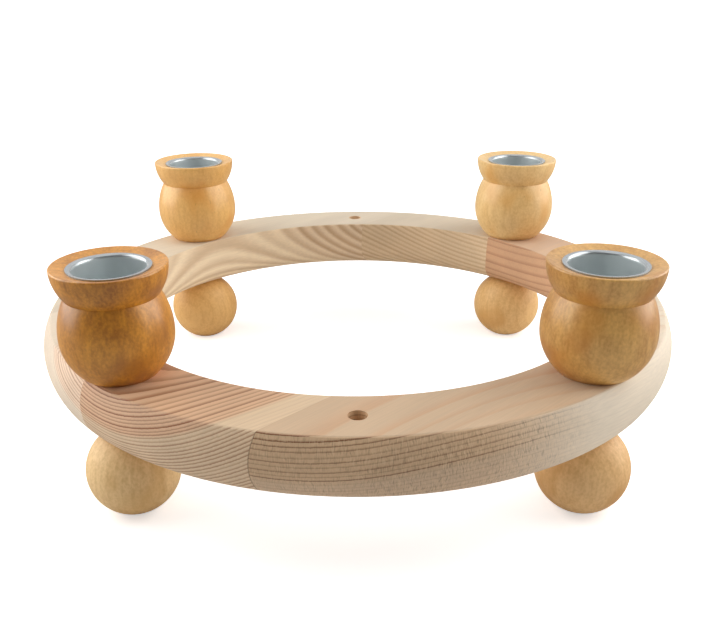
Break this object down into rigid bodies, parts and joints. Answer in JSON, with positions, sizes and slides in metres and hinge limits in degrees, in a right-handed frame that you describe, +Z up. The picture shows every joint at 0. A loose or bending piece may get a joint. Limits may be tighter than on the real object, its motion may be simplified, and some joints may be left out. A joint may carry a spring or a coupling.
{
  "type": "advent candle holder",
  "caption": "Wooden ring on ball feet that carries turned candle cups with lift-out metal inserts, and has plug holes for small decorations between the cups.",
  "frame": {"origin": "on the floor, on the ring's axis", "axes": "+Z up along the ring's axis, front towards -Y, +X to the right"},
  "size_m": [0.2398, 0.2398, 0.086],
  "materials": {
    "ring_softwood": "fine sanded, unvarnished",
    "turned_hardwood": "turned and waxed",
    "insert_metal": "satin drawn sheet",
    "dowel_wood": "plain beech rod"
  },
  "bodies": {
    "holder": {"ring_front_board": "ring_softwood", "ring_front_left_board": "ring_softwood", "ring_left_board": "ring_softwood", "ring_rear_board": "ring_softwood", "ring_rear_right_board": "ring_softwood", "ring_right_board": "ring_softwood", "candle_cup_front_left": "turned_hardwood", "ball_foot_front_left": "turned_hardwood", "dowel_front_left": "dowel_wood", "candle_cup_front_right": "turned_hardwood", "ball_foot_front_right": "turned_hardwood", "dowel_front_right": "dowel_wood", "candle_cup_rear_right": "turned_hardwood", "ball_foot_rear_right": "turned_hardwood", "dowel_rear_right": "dowel_wood", "candle_cup_rear_left": "turned_hardwood", "ball_foot_rear_left": "turned_hardwood", "dowel_rear_left": "dowel_wood"},
    "insert_front_left": {"candle_insert_front_left": "insert_metal"},
    "insert_front_right": {"candle_insert_front_right": "insert_metal"},
    "insert_rear_right": {"candle_insert_rear_right": "insert_metal"},
    "insert_rear_left": {"candle_insert_rear_left": "insert_metal"}
  },
  "joints": [
    {"name": "insert_lift_front_left", "type": "slide", "parent": "holder", "child": "insert_front_left", "axis": [0, 0, 1], "range_m": [0, 0.025]},
    {"name": "insert_lift_front_right", "type": "slide", "parent": "holder", "child": "insert_front_right", "axis": [0, 0, 1], "range_m": [0, 0.025]},
    {"name": "insert_lift_rear_right", "type": "slide", "parent": "holder", "child": "insert_rear_right", "axis": [0, 0, 1], "range_m": [0, 0.025]},
    {"name": "insert_lift_rear_left", "type": "slide", "parent": "holder", "child": "insert_rear_left", "axis": [0, 0, 1], "range_m": [0, 0.025]}
  ]
}
